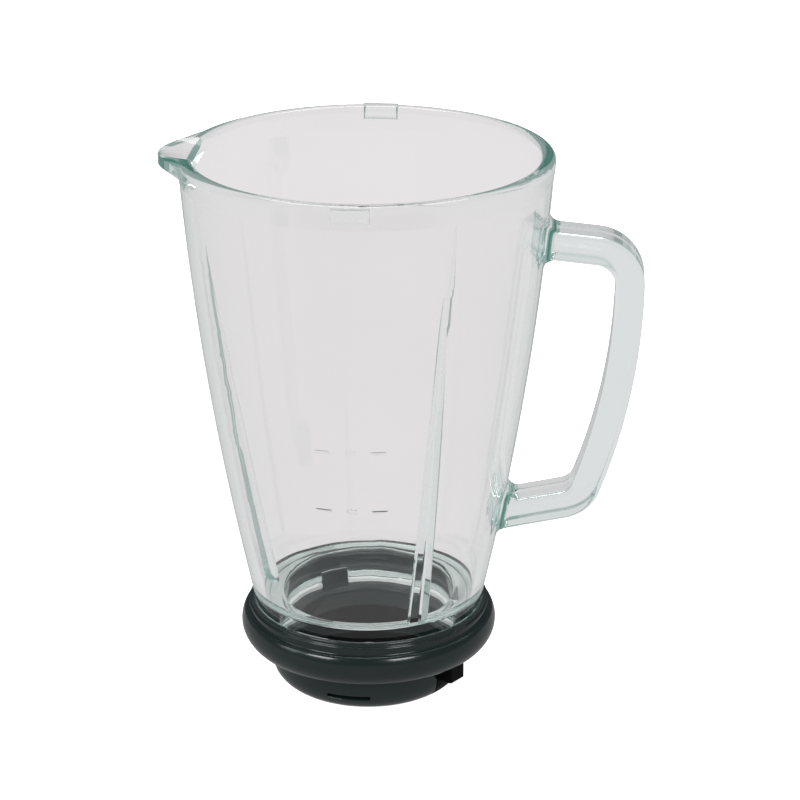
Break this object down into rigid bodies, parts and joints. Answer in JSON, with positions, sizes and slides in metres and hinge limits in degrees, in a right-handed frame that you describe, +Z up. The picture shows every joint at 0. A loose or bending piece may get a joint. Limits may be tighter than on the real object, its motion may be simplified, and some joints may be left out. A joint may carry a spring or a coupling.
{
  "type": "blender jar",
  "caption": "Tall conical glass blender jar with a pouring spout, side handle and inner mixing ribs, open at the foot and held in a dark moulded collar with a locking ring.",
  "frame": {"origin": "middle of the open bore at the bottom face that the jar stands on", "axes": "+Z up along the jar's axis, +X towards the handle, -X towards the spout"},
  "size_m": [0.1871, 0.15, 0.22],
  "materials": {
    "jar_glass": "clear pressed glass with a faint green tint in its thick edges",
    "collar_plastic": "satin moulded plastic, dark green-grey",
    "gasket_rubber": "smooth moulded silicone, milky white",
    "ring_plastic": "black moulded plastic"
  },
  "bodies": {
    "root": {"glass_jar": "jar_glass", "base_collar": "collar_plastic", "foot_gasket": "gasket_rubber", "locking_ring": "ring_plastic"}
  },
  "joints": []
}
